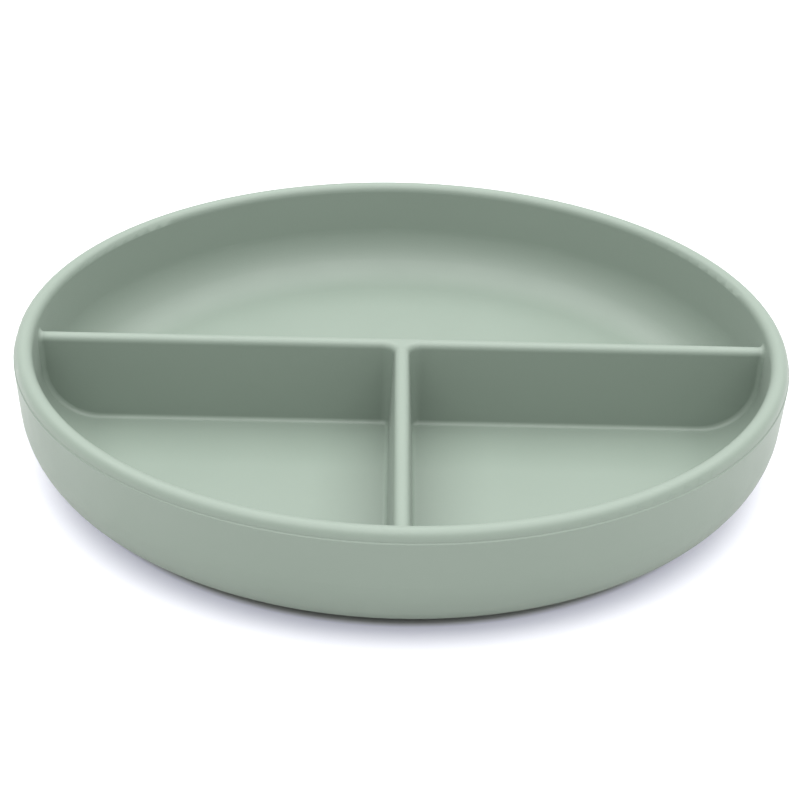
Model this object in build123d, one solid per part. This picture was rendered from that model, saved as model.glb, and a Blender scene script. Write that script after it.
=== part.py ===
from build123d import *

import math
import os

# A toddler's divided suction plate, in silicone.
#
# Millimetres, +Z up. The origin is the centre of the plate on the table top. The long divider
# lies along X, the short one runs from the centre to the front (-Y), and the release tab is at
# the back (+Y). The outlines of the round parts are drawn as (radius, height) and turned about Z.

# Plate: overall size, wall and floor
PLATE_DIAMETER = 190.0
PLATE_HEIGHT = 30.8
RIM_ROUND = 2.2            # radius of the full round on top of the wall
OUTER_WALL_LEAN = 4.6      # lean of the outer wall from the vertical, in degrees
OUTER_ROUND = 17.2         # large round that carries the outer wall into the foot
FOOT_Z = 0.9               # height of the plate's foot over the table
FOOT_INNER_RADIUS = 72.0
UNDERSIDE_STEP_RUN = 1.5   # the foot slopes up to the floor's underside over this run
INNER_WALL_LEAN = 4.0      # lean of the inner wall from the vertical, in degrees
INNER_ROUND = 14.0         # large round between the floor and the wall, to scoop against
FLOOR_TOP_Z = 4.6
FLOOR_UNDERSIDE_Z = 2.6
SEAM_ANGLE = 45.0          # where the turned surfaces start and end, in degrees from +X
PARTING_DROP = 2.5         # the mould's parting line, below the top of the rim
PARTING_LEDGE = 0.25       # how far the ledge at that line slopes out, and down

# Dividers: one T, moulded with the plate
DIVIDER_TOP_DROP = 4.1     # top of the dividers, below the top of the rim
DIVIDER_TOP_WIDTH = 3.5
DIVIDER_TOP_ROUND = 1.7
DIVIDER_DRAFT = 3.0        # draft of each side, in degrees
DIVIDER_T_FILLET = 2.0     # upright fillets where the stem meets the long divider
DIVIDER_FOOT_FILLET = 1.2  # where the dividers meet the floor and the wall
DIVIDER_ROOT_DEPTH = 0.8   # how far the dividers reach into the floor and the wall

# Suction base: a hub under the floor, a thin skirt round it and a release tab on the skirt
HUB_INNER_RADIUS = 46.0
HUB_OUTER_RADIUS = 58.0
HUB_FOOT_Z = 1.2
HUB_ROUND = 0.3
SKIRT_GAP = 0.35           # between the hub and the moving skirt
SKIRT_OUTER_RADIUS = 68.0
SKIRT_ROOT_BOTTOM_Z = 0.15
SKIRT_ROOT_TOP_Z = 1.2
SKIRT_SEAL_INNER_RADIUS = 60.0
SKIRT_EDGE_THICKNESS = 0.6

# Release tab and the finger notch over it
TAB_WIDTH = 18.0
TAB_BOTTOM_Z = 0.15
TAB_TOP_Z = 1.15
TAB_HINGE_Y = 82.0
TAB_HINGE_GAP = 0.3
TAB_TIP_Y = 94.5
TAB_CORNER_RADIUS = 6.0
TAB_RIB_HEIGHT = 0.35
TAB_RIB_WIDTH = 0.9
TAB_RIB_LENGTH = 11.0
TAB_RIB_PITCH = 1.9
TAB_RIB_COUNT = 3
NOTCH_WIDTH = 25.0
NOTCH_INNER_Y = 69.0
NOTCH_BEND_Y = 80.0        # the notch's roof is level up to here
NOTCH_SLOPE = 25.0         # and rises from here at this angle, in degrees
NOTCH_CORNER_RADIUS = 1.5


def point(radius, height):
    """A point of a round outline, in the XZ plane."""
    return (radius, 0, height)


def turned(*edges):
    """The solid made by turning a closed outline about Z, with its seam clear of the dividers."""
    return Rot(0, 0, SEAM_ANGLE) * revolve(make_face(Wire(edges)), axis=Axis.Z)


def turned_polygon(points):
    """The solid made by turning a polygon of (radius, height) points about Z."""
    corners = [point(*pair) for pair in points]
    return revolve(make_face(Polyline(*corners, close=True)), axis=Axis.Z)


def wall_round(wall_top, lean_degrees, radius, base_z):
    """Upper end, middle and lower end of the arc from a leaning wall to a level base."""
    lean = math.radians(lean_degrees)
    centre_z = base_z + radius
    run = radius + (wall_top[1] - centre_z) * math.sin(lean)
    centre_radius = wall_top[0] - run / math.cos(lean)
    turns = [lean, (lean + math.pi / 2) / 2, math.pi / 2]
    return [
        (centre_radius + radius * math.cos(turn), centre_z - radius * math.sin(turn))
        for turn in turns
    ]


def rim_centre():
    """Centre of the rim's round. The wall stands proud of the round by the parting ledge."""
    return (PLATE_DIAMETER / 2 - PARTING_LEDGE - RIM_ROUND, PLATE_HEIGHT - RIM_ROUND)


def inner_wall_top(offset):
    """Where the inner wall leaves the rim's round, moved outwards by an offset."""
    lean = math.radians(INNER_WALL_LEAN)
    inset = RIM_ROUND - offset
    rim_radius, rim_z = rim_centre()
    return (rim_radius - inset * math.cos(lean), rim_z + inset * math.sin(lean))


def dish():
    """Floor, wall and full-round rim, turned about Z."""
    rim_radius, rim_z = rim_centre()
    rim_top = (rim_radius, PLATE_HEIGHT)
    rim_inner = inner_wall_top(0)
    scoop_top, scoop_mid, floor_end = wall_round(
        rim_inner, INNER_WALL_LEAN, INNER_ROUND, FLOOR_TOP_Z)

    ledge_z = PLATE_HEIGHT - PARTING_DROP
    ledge_inner = (rim_radius + math.sqrt(RIM_ROUND ** 2 - (rim_z - ledge_z) ** 2), ledge_z)
    ledge_outer = (ledge_inner[0] + PARTING_LEDGE, ledge_z - PARTING_LEDGE)
    outer_top, outer_mid, foot_outer = wall_round(
        ledge_outer, OUTER_WALL_LEAN, OUTER_ROUND, FOOT_Z)
    foot_inner = (FOOT_INNER_RADIUS, FOOT_Z)
    underside_end = (FOOT_INNER_RADIUS - UNDERSIDE_STEP_RUN, FLOOR_UNDERSIDE_Z)
    return turned(
        Line(point(0, FLOOR_TOP_Z), point(*floor_end)),
        ThreePointArc(point(*floor_end), point(*scoop_mid), point(*scoop_top)),
        Line(point(*scoop_top), point(*rim_inner)),
        ThreePointArc(point(*rim_inner), point(*rim_top), point(*ledge_inner)),
        Line(point(*ledge_inner), point(*ledge_outer)),
        Line(point(*ledge_outer), point(*outer_top)),
        ThreePointArc(point(*outer_top), point(*outer_mid), point(*foot_outer)),
        Line(point(*foot_outer), point(*foot_inner)),
        Line(point(*foot_inner), point(*underside_end)),
        Line(point(*underside_end), point(0, FLOOR_UNDERSIDE_Z)),
        Line(point(0, FLOOR_UNDERSIDE_Z), point(0, FLOOR_TOP_Z)),
    )


def divider_limit():
    """Solid inside the dish that the dividers end in, a little way into its floor and wall."""
    wall_top = inner_wall_top(DIVIDER_ROOT_DEPTH)
    base_z = FLOOR_TOP_Z - DIVIDER_ROOT_DEPTH
    scoop_top, scoop_mid, floor_end = wall_round(
        wall_top, INNER_WALL_LEAN, INNER_ROUND + DIVIDER_ROOT_DEPTH, base_z)
    return turned(
        Line(point(0, base_z), point(*floor_end)),
        ThreePointArc(point(*floor_end), point(*scoop_mid), point(*scoop_top)),
        Line(point(*scoop_top), point(*wall_top)),
        Line(point(*wall_top), point(0, wall_top[1])),
        Line(point(0, wall_top[1]), point(0, base_z)),
    )


def divider_plan(width, corner_radius):
    """Plan of the T of dividers, with its two inner corners rounded."""
    reach = PLATE_DIAMETER / 2
    plan = Rectangle(2 * reach, width) + Pos(0, -reach / 2) * Rectangle(width, reach)
    corners = [
        vertex for vertex in plan.vertices()
        if abs(vertex.X) < width and -width < vertex.Y < 0
    ]
    return fillet(corners, corner_radius)


def dividers():
    """The T of dividers: drafted sides, round top, upright fillets at the T."""
    top_z = PLATE_HEIGHT - DIVIDER_TOP_DROP
    foot_z = FLOOR_TOP_Z - DIVIDER_ROOT_DEPTH
    spread = (top_z - foot_z) * math.tan(math.radians(DIVIDER_DRAFT))
    foot_plan = divider_plan(DIVIDER_TOP_WIDTH + 2 * spread, DIVIDER_T_FILLET)
    top_plan = divider_plan(DIVIDER_TOP_WIDTH, DIVIDER_T_FILLET + spread)
    blank = loft([Pos(0, 0, foot_z) * foot_plan, Pos(0, 0, top_z) * top_plan])

    end = PLATE_DIAMETER / 2 - 0.1
    long_top_edges = [
        edge for edge in blank.faces().sort_by(Axis.Z)[-1].edges()
        if abs(edge.center().X) < end and edge.center().Y > -end
    ]
    blank = fillet(long_top_edges, DIVIDER_TOP_ROUND)

    return blank & divider_limit()


def finger_notch():
    """Channel through the foot at the back, for the release tab and a fingertip over it."""
    run = PLATE_DIAMETER / 2 + 1 - NOTCH_BEND_Y
    rise = run * math.tan(math.radians(NOTCH_SLOPE))
    low_z = FOOT_Z - 1
    roof_z = FLOOR_UNDERSIDE_Z
    side = make_face(Polyline(
        (0, NOTCH_INNER_Y, low_z),
        (0, NOTCH_INNER_Y, roof_z),
        (0, NOTCH_BEND_Y, roof_z),
        (0, NOTCH_BEND_Y + run, roof_z + rise),
        (0, NOTCH_BEND_Y + run, low_z),
        close=True,
    ))
    channel = extrude(side, amount=NOTCH_WIDTH / 2, both=True)
    roof_edges = channel.edges().filter_by(
        lambda edge: abs(edge.center().X) > NOTCH_WIDTH / 2 - 0.01
        and edge.center().Z > roof_z - 0.01
        and abs(edge.tangent_at(0.5).Y) > 0.5
    )
    return fillet(roof_edges, NOTCH_CORNER_RADIUS)


def plate_body():
    """The plate: dish and dividers in one moulding, with the finger notch."""
    bowl = dish()
    bars = dividers()
    body = bowl + bars
    junction = new_edges(bowl, bars, combined=body)
    body = fillet(junction, DIVIDER_FOOT_FILLET)
    return body - finger_notch()


def suction_hub():
    """Ring under the floor that carries the skirt."""
    ring = turned_polygon([
        (HUB_INNER_RADIUS, FLOOR_UNDERSIDE_Z),
        (HUB_INNER_RADIUS, HUB_FOOT_Z),
        (HUB_OUTER_RADIUS, HUB_FOOT_Z),
        (HUB_OUTER_RADIUS, FLOOR_UNDERSIDE_Z),
    ])
    foot = ring.edges().filter_by_position(Axis.Z, HUB_FOOT_Z - 0.01, HUB_FOOT_Z + 0.01)
    return fillet(foot.filter_by(GeomType.CIRCLE), HUB_ROUND)


def tab_plan(start_y, end_y):
    """Plan of a stretch of the release tab's tongue."""
    length = end_y - start_y
    return Pos(0, start_y + length / 2) * Rectangle(TAB_WIDTH, length)


def suction_skirt():
    """Thin sealing skirt, with the strap that joins it to the release tab."""
    root_radius = HUB_OUTER_RADIUS + SKIRT_GAP
    ring = turned_polygon([
        (root_radius, SKIRT_ROOT_BOTTOM_Z),
        (SKIRT_SEAL_INNER_RADIUS, 0),
        (SKIRT_OUTER_RADIUS, 0),
        (SKIRT_OUTER_RADIUS, SKIRT_EDGE_THICKNESS),
        (root_radius, SKIRT_ROOT_TOP_Z),
    ])
    strap_start = SKIRT_SEAL_INNER_RADIUS + 1
    strap_plan = tab_plan(strap_start, TAB_HINGE_Y - TAB_HINGE_GAP / 2)
    strap = extrude(Pos(0, 0, TAB_BOTTOM_Z) * strap_plan, amount=TAB_TOP_Z - TAB_BOTTOM_Z)
    return ring + strap


def release_tab():
    """Tongue that a finger lifts to break the seal, with grip ribs on its free end."""
    plan = tab_plan(TAB_HINGE_Y + TAB_HINGE_GAP / 2, TAB_TIP_Y)
    tip_corners = plan.vertices().sort_by(Axis.Y)[-2:]
    plan = fillet(tip_corners, TAB_CORNER_RADIUS)
    tongue = extrude(Pos(0, 0, TAB_BOTTOM_Z) * plan, amount=TAB_TOP_Z - TAB_BOTTOM_Z)
    for index in range(TAB_RIB_COUNT):
        rib_y = TAB_TIP_Y - 2.0 - index * TAB_RIB_PITCH
        rib = Pos(0, rib_y, TAB_TOP_Z) * Box(
            TAB_RIB_LENGTH, TAB_RIB_WIDTH, 2 * TAB_RIB_HEIGHT)
        tongue = tongue + rib
    return tongue


NODES = {
    "plate_body": plate_body,
    "suction_hub": suction_hub,
    "suction_skirt": suction_skirt,
    "release_tab": release_tab,
}


def main():
    os.makedirs("parts", exist_ok=True)
    for name, make in NODES.items():
        export_step(make(), f"parts/{name}.step")


main()
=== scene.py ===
import math

import bmesh
import bpy
from mathutils import Matrix, Vector


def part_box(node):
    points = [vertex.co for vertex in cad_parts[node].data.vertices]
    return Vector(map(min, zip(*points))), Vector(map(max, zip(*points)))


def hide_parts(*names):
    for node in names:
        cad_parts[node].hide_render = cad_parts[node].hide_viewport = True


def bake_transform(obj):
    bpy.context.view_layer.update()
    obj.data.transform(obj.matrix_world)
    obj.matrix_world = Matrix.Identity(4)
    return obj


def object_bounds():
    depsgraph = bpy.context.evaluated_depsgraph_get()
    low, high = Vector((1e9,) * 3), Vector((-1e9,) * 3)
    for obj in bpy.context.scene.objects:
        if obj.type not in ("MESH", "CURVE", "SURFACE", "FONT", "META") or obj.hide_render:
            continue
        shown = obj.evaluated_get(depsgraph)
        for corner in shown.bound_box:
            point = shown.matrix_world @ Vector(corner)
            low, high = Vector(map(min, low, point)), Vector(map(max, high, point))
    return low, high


# A toddler's divided suction plate in matte sage silicone, on a white table under a wide softbox.
# Lengths are in metres and angles in degrees. The table top is at z = 0 and the front is -Y.

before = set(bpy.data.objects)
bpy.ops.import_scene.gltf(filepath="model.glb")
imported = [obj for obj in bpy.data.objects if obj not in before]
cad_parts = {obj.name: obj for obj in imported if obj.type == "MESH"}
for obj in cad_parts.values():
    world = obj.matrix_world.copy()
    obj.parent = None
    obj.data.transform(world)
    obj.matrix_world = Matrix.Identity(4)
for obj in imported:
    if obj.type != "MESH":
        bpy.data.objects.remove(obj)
cad_low, cad_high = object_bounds()

MM = 0.001

# Camera: it looks at the centre of the rim's top
EYE_DISTANCE = 0.480
EYE_ELEVATION = 26.58
EYE_AZIMUTH = -0.69        # to the left of the short divider's line
EYE_ROLL = 1.595
SENSOR_WIDTH = 36
LENS = 88.24
SHIFT_RIGHT = -0.0095
SHIFT_UP = -0.088

# Light
SOFTBOX_PLACE = (0.0, 0.2, 1.2)
SOFTBOX_SIZE = 2.2
SOFTBOX_ENERGY = 41.2
DOME_STRENGTH = 0.92

# Table: painted shade, a darker base colour in the crevice under the plate's round, and painted
# light, a camera-only glow that starts just outside it
TABLE_SIZE = 8
TABLE_DROP = 0.02 * MM     # keeps it clear of the sealing face that stands on it
# Painted shade: the table's base colour is darkest near the plate and rises to the table's own
# tone further out
PAINTED_SHADE_TONE = 0.30
TABLE_TONE = 0.73
PAINTED_SHADE_END = 81.3 * MM
TABLE_START = 82.9 * MM
# Painted light: the glow is emission seen only by the camera, not a lamp, and shapes the edge of
# the plate's shadow
GLOW_START = 82.6 * MM
GLOW_FULL = 84.4 * MM
GLOW_STRENGTH = 0.31
GLOW_COLOUR = (0.77, 0.77, 1.0, 1)

# Silicone
SAGE_DEEP = (0.192, 0.238, 0.199, 1)
SAGE_LIGHT = (0.204, 0.251, 0.211, 1)
SHEEN_TINT = (0.93, 1.0, 0.95, 1)

# Sealing skirt and the web that hangs it from the floor of the plate
BELL_TURNS = 192
WEB_OVERLAP = 0.2 * MM     # how far the web reaches into the floor

# Release tab: a strap that starts on the skirt, and the ribbed tongue at its end
STRAP_START = 62.0 * MM
TAB_COLUMNS = 57
TAB_HALF_WIDTH = 9.0 * MM
TAB_THICKNESS = 1.0 * MM
TAB_CORNER = 6.0 * MM
TAB_EDGE_ROUND = 0.3 * MM
UNDER_EDGE_SHARE = 0.6     # height of the lower edges' round, as a share of the upper ones'
TONGUE_LENGTH = 9.0 * MM   # from here to the tip the rows of vertices are closer together
STRAP_STEP = 0.5 * MM
TONGUE_STEP = 0.16 * MM
TIP_STEP = 0.05 * MM
ROW_TOLERANCE = 0.0005 * MM
RIB_COUNT = 3
RIB_PITCH = 1.9 * MM
RIB_TIP_GAP = 2.0 * MM
RIB_HALF_WIDTH = 0.62 * MM
RIB_HALF_LENGTH = 4.9 * MM
RIB_HEIGHT = 0.35 * MM


def linked(name, data):
    """A new object in the scene."""
    thing = bpy.data.objects.new(name, data)
    bpy.context.scene.collection.objects.link(thing)
    return thing


def smooth(thing, sharp_angle):
    """Smooth shading, with the edges sharper than an angle left crisp."""
    thing.data.polygons.foreach_set("use_smooth", [True] * len(thing.data.polygons))
    thing.data.set_sharp_from_angle(angle=math.radians(sharp_angle))


def ramp(tree, value, start, end, low, high):
    """A value remapped from the range start to end onto the range low to high."""
    node = tree.nodes.new("ShaderNodeMapRange")
    node.inputs["From Min"].default_value = start
    node.inputs["From Max"].default_value = end
    node.inputs["To Min"].default_value = low
    node.inputs["To Max"].default_value = high
    tree.links.new(value, node.inputs["Value"])
    return node.outputs["Result"]


# Silicone


def noise(tree, place, scale, detail):
    """Noise that is fixed to the object."""
    texture = tree.nodes.new("ShaderNodeTexNoise")
    texture.inputs["Scale"].default_value = scale
    texture.inputs["Detail"].default_value = detail
    tree.links.new(place.outputs["Object"], texture.inputs["Vector"])
    return texture.outputs["Fac"]


def bump(tree, height, strength, distance):
    """A bump node that reads a height."""
    node = tree.nodes.new("ShaderNodeBump")
    node.inputs["Strength"].default_value = strength
    node.inputs["Distance"].default_value = distance
    tree.links.new(height, node.inputs["Height"])
    return node


def silicone():
    """Matte moulded silicone: faint clouding, a spark-eroded grain and a soft, dusty sheen."""
    material = bpy.data.materials.new("sage_silicone")
    material.use_nodes = True
    tree = material.node_tree
    bsdf = tree.nodes["Principled BSDF"]
    bsdf.inputs["Specular IOR Level"].default_value = 0.45
    bsdf.inputs["Sheen Weight"].default_value = 0.05
    bsdf.inputs["Sheen Roughness"].default_value = 0.6
    bsdf.inputs["Sheen Tint"].default_value = SHEEN_TINT
    place = tree.nodes.new("ShaderNodeTexCoord")

    tint = tree.nodes.new("ShaderNodeMix")
    tint.data_type = "RGBA"
    tint.inputs["A"].default_value = SAGE_DEEP
    tint.inputs["B"].default_value = SAGE_LIGHT
    clouds = noise(tree, place, 26.0, 4.0)
    tree.links.new(clouds, tint.inputs["Factor"])
    tree.links.new(tint.outputs["Result"], bsdf.inputs["Base Color"])

    blotches = noise(tree, place, 60.0, 3.0)
    roughness = ramp(tree, blotches, 0.3, 0.7, 0.40, 0.48)
    tree.links.new(roughness, bsdf.inputs["Roughness"])

    grain = bump(tree, noise(tree, place, 1400.0, 2.0), 0.25, 0.06 * MM)
    ripple = bump(tree, noise(tree, place, 45.0, 1.0), 0.2, 0.15 * MM)
    tree.links.new(ripple.outputs["Normal"], grain.inputs["Normal"])
    tree.links.new(grain.outputs["Normal"], bsdf.inputs["Normal"])
    return material


# Stage


def white_table():
    """A white table, brighter to the camera than in the light that it throws back: painted shade
    darkens its base colour under the plate's round, and a painted glow seen only by the camera
    whitens it just outside.
    """
    bpy.ops.mesh.primitive_plane_add(size=TABLE_SIZE, location=(0, 0, -TABLE_DROP))
    table = bpy.context.object
    table.name = "table"
    material = bpy.data.materials.new("white_table")
    material.use_nodes = True
    tree = material.node_tree
    bsdf = tree.nodes["Principled BSDF"]
    bsdf.inputs["Roughness"].default_value = 0.8
    bsdf.inputs["Specular IOR Level"].default_value = 0.1
    bsdf.inputs["Emission Color"].default_value = GLOW_COLOUR

    place = tree.nodes.new("ShaderNodeTexCoord")
    length = tree.nodes.new("ShaderNodeVectorMath")
    length.operation = "LENGTH"
    tree.links.new(place.outputs["Object"], length.inputs[0])
    distance = length.outputs["Value"]
    # Painted shade: the base colour darkens towards the plate, under its round
    tone_with_painted_shade = ramp(tree, distance, PAINTED_SHADE_END, TABLE_START, PAINTED_SHADE_TONE, TABLE_TONE)
    tree.links.new(tone_with_painted_shade, bsdf.inputs["Base Color"])

    # Painted light: a glow seen only by the camera, rising just outside the plate's shade
    glow = ramp(tree, distance, GLOW_START, GLOW_FULL, 0, GLOW_STRENGTH)
    ray = tree.nodes.new("ShaderNodeLightPath")
    seen = tree.nodes.new("ShaderNodeMath")
    seen.operation = "MULTIPLY"
    tree.links.new(glow, seen.inputs[0])
    tree.links.new(ray.outputs["Is Camera Ray"], seen.inputs[1])
    tree.links.new(seen.outputs["Value"], bsdf.inputs["Emission Strength"])
    table.data.materials.append(material)


def studio():
    """A wide softbox straight overhead, a little behind the plate, and an even white dome."""
    light = bpy.data.lights.new("overhead", "AREA")
    light.energy = SOFTBOX_ENERGY
    light.size = SOFTBOX_SIZE
    linked("overhead", light).location = SOFTBOX_PLACE
    world = bpy.data.worlds.new("studio")
    bpy.context.scene.world = world
    world.use_nodes = True
    background = world.node_tree.nodes["Background"]
    background.inputs["Color"].default_value = (1, 1, 1, 1)
    background.inputs["Strength"].default_value = DOME_STRENGTH
    bpy.context.scene.view_settings.view_transform = "Standard"


def camera():
    """The camera, turned about the rim's centre and rolled a little."""
    elevation = math.radians(EYE_ELEVATION)
    azimuth = math.radians(EYE_AZIMUTH)
    away = Vector((
        math.cos(elevation) * math.sin(azimuth),
        -math.cos(elevation) * math.cos(azimuth),
        math.sin(elevation),
    ))
    data = bpy.data.cameras.new("camera")
    data.sensor_width = SENSOR_WIDTH
    data.lens = LENS
    data.shift_x = SHIFT_RIGHT
    data.shift_y = SHIFT_UP
    eye = linked("camera", data)
    place = Matrix.Translation(Vector((0, 0, cad_high.z)) + away * EYE_DISTANCE)
    turn = away.to_track_quat("Z", "Y").to_matrix().to_4x4()
    roll = Matrix.Rotation(math.radians(EYE_ROLL), 4, "Z")
    eye.matrix_world = place @ turn @ roll
    bpy.context.scene.camera = eye


# Pieces


def joined(shape, ring, after):
    """Faces between two closed rings of vertices."""
    for index in range(len(ring)):
        following = (index + 1) % len(ring)
        shape.faces.new((ring[index], after[index], after[following], ring[following]))


def finished(name, shape, material, sharp_angle):
    """The object made from a bmesh, in silicone and with smooth shading."""
    bmesh.ops.recalc_face_normals(shape, faces=shape.faces)
    mesh = bpy.data.meshes.new(name)
    shape.to_mesh(mesh)
    shape.free()
    piece = linked(name, mesh)
    piece.data.materials.append(material)
    smooth(piece, sharp_angle)
    return piece


def bell_outline():
    """Radius and height of the skirt and its web: up the inside, round the edge and back up."""
    root_z = (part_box("suction_hub")[1].z + WEB_OVERLAP) / MM
    outline = [
        (58.2, root_z),
        (58.2, 2.0),
        (58.35, 1.4),
        (58.55, 0.95),
        (58.9, 0.45),
        (59.4, 0.12),
        (60.0, 0.0),
        (61.5, 0.0),
        (64.5, 0.0),
        (67.6, 0.0),
        (67.9, 0.08),
        (68.0, 0.3),
        (67.9, 0.52),
        (67.6, 0.62),
        (65.5, 0.76),
        (63.0, 0.92),
        (61.0, 1.1),
        (60.1, 1.35),
        (59.6, 1.75),
        (59.4, 2.2),
        (59.6, root_z),
    ]
    return [(radius * MM, height * MM) for radius, height in outline]


def suction_bell(material):
    """The sealing skirt with the thin web that hangs it from the underside of the plate."""
    outline = bell_outline()
    shape = bmesh.new()
    rings = []
    for turn in range(BELL_TURNS):
        angle = 2 * math.pi * turn / BELL_TURNS
        rings.append([
            shape.verts.new((radius * math.cos(angle), radius * math.sin(angle), height))
            for radius, height in outline
        ])
    for ring, after in zip(rings, rings[1:] + rings[:1]):
        joined(shape, ring, after)
    bell = finished("suction_bell", shape, material, 40)
    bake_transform(bell)
    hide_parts("suction_skirt")


def tab_rows(tip):
    """Distances from the centre of the tab's rows, closer together over the ribs and the tip."""
    rows = []
    y = STRAP_START
    while y < tip - TONGUE_LENGTH:
        rows.append(y)
        y += STRAP_STEP
    while y < tip - ROW_TOLERANCE:
        rows.append(y)
        y += TONGUE_STEP if y < tip - TAB_EDGE_ROUND else TIP_STEP
    rows.append(tip)
    return rows


def tab_half_width(y, tip):
    """Half width of the tab at a distance from the centre, with its two corners rounded."""
    into_corner = y - (tip - TAB_CORNER)
    if into_corner <= 0:
        return TAB_HALF_WIDTH
    return TAB_HALF_WIDTH - TAB_CORNER + math.sqrt(max(TAB_CORNER ** 2 - into_corner ** 2, 0))


def rib_rise(x, y, tip):
    """Height of the rounded grip ribs over the tongue."""
    rise = 0.0
    for index in range(RIB_COUNT):
        rib_y = tip - RIB_TIP_GAP - index * RIB_PITCH
        across = (y - rib_y) / RIB_HALF_WIDTH
        along = max(abs(x) - RIB_HALF_LENGTH, 0) / RIB_HALF_WIDTH
        span = across ** 2 + along ** 2
        if span < 1:
            rise = max(rise, RIB_HEIGHT * (1 - span) ** 0.6)
    return rise


def edge_drop(x, y, half, tip):
    """How far the tab's face falls away in the round along its edges."""
    edge = min(half - abs(x), tip - y)
    inset = max(1 - max(edge, 0) / TAB_EDGE_ROUND, 0)
    return TAB_EDGE_ROUND * (1 - math.sqrt(max(1 - inset ** 2, 0)))


def tab_ring(shape, y, tip, bottom):
    """The vertices of one row: across the upper face, and back across the lower one."""
    half = tab_half_width(y, tip)
    upper = []
    lower = []
    for index in range(TAB_COLUMNS):
        x = (2 * index / (TAB_COLUMNS - 1) - 1) * half
        drop = edge_drop(x, y, half, tip)
        top = bottom + TAB_THICKNESS - drop + rib_rise(x, y, tip)
        upper.append(shape.verts.new((x, y, top)))
        lower.append(shape.verts.new((x, y, bottom + drop * UNDER_EDGE_SHARE)))
    return upper + lower[::-1]


def pull_tab(material):
    """The strap from the skirt and the ribbed tongue, moulded as one and lying flat."""
    tab_low, tab_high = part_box("release_tab")
    shape = bmesh.new()
    rings = [tab_ring(shape, y, tab_high.y, tab_low.z) for y in tab_rows(tab_high.y)]
    for ring, after in zip(rings, rings[1:]):
        joined(shape, ring, after)
    for ring in (rings[0], rings[-1]):
        for index in range(TAB_COLUMNS - 1):
            shape.faces.new((ring[index], ring[index + 1], ring[-2 - index], ring[-1 - index]))
    tab = finished("pull_tab", shape, material, 50)
    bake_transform(tab)
    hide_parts("release_tab")


skin = silicone()
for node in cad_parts.values():
    node.data.materials.clear()
    node.data.materials.append(skin)
    smooth(node, 35)

suction_bell(skin)
pull_tab(skin)
white_table()
studio()
camera()
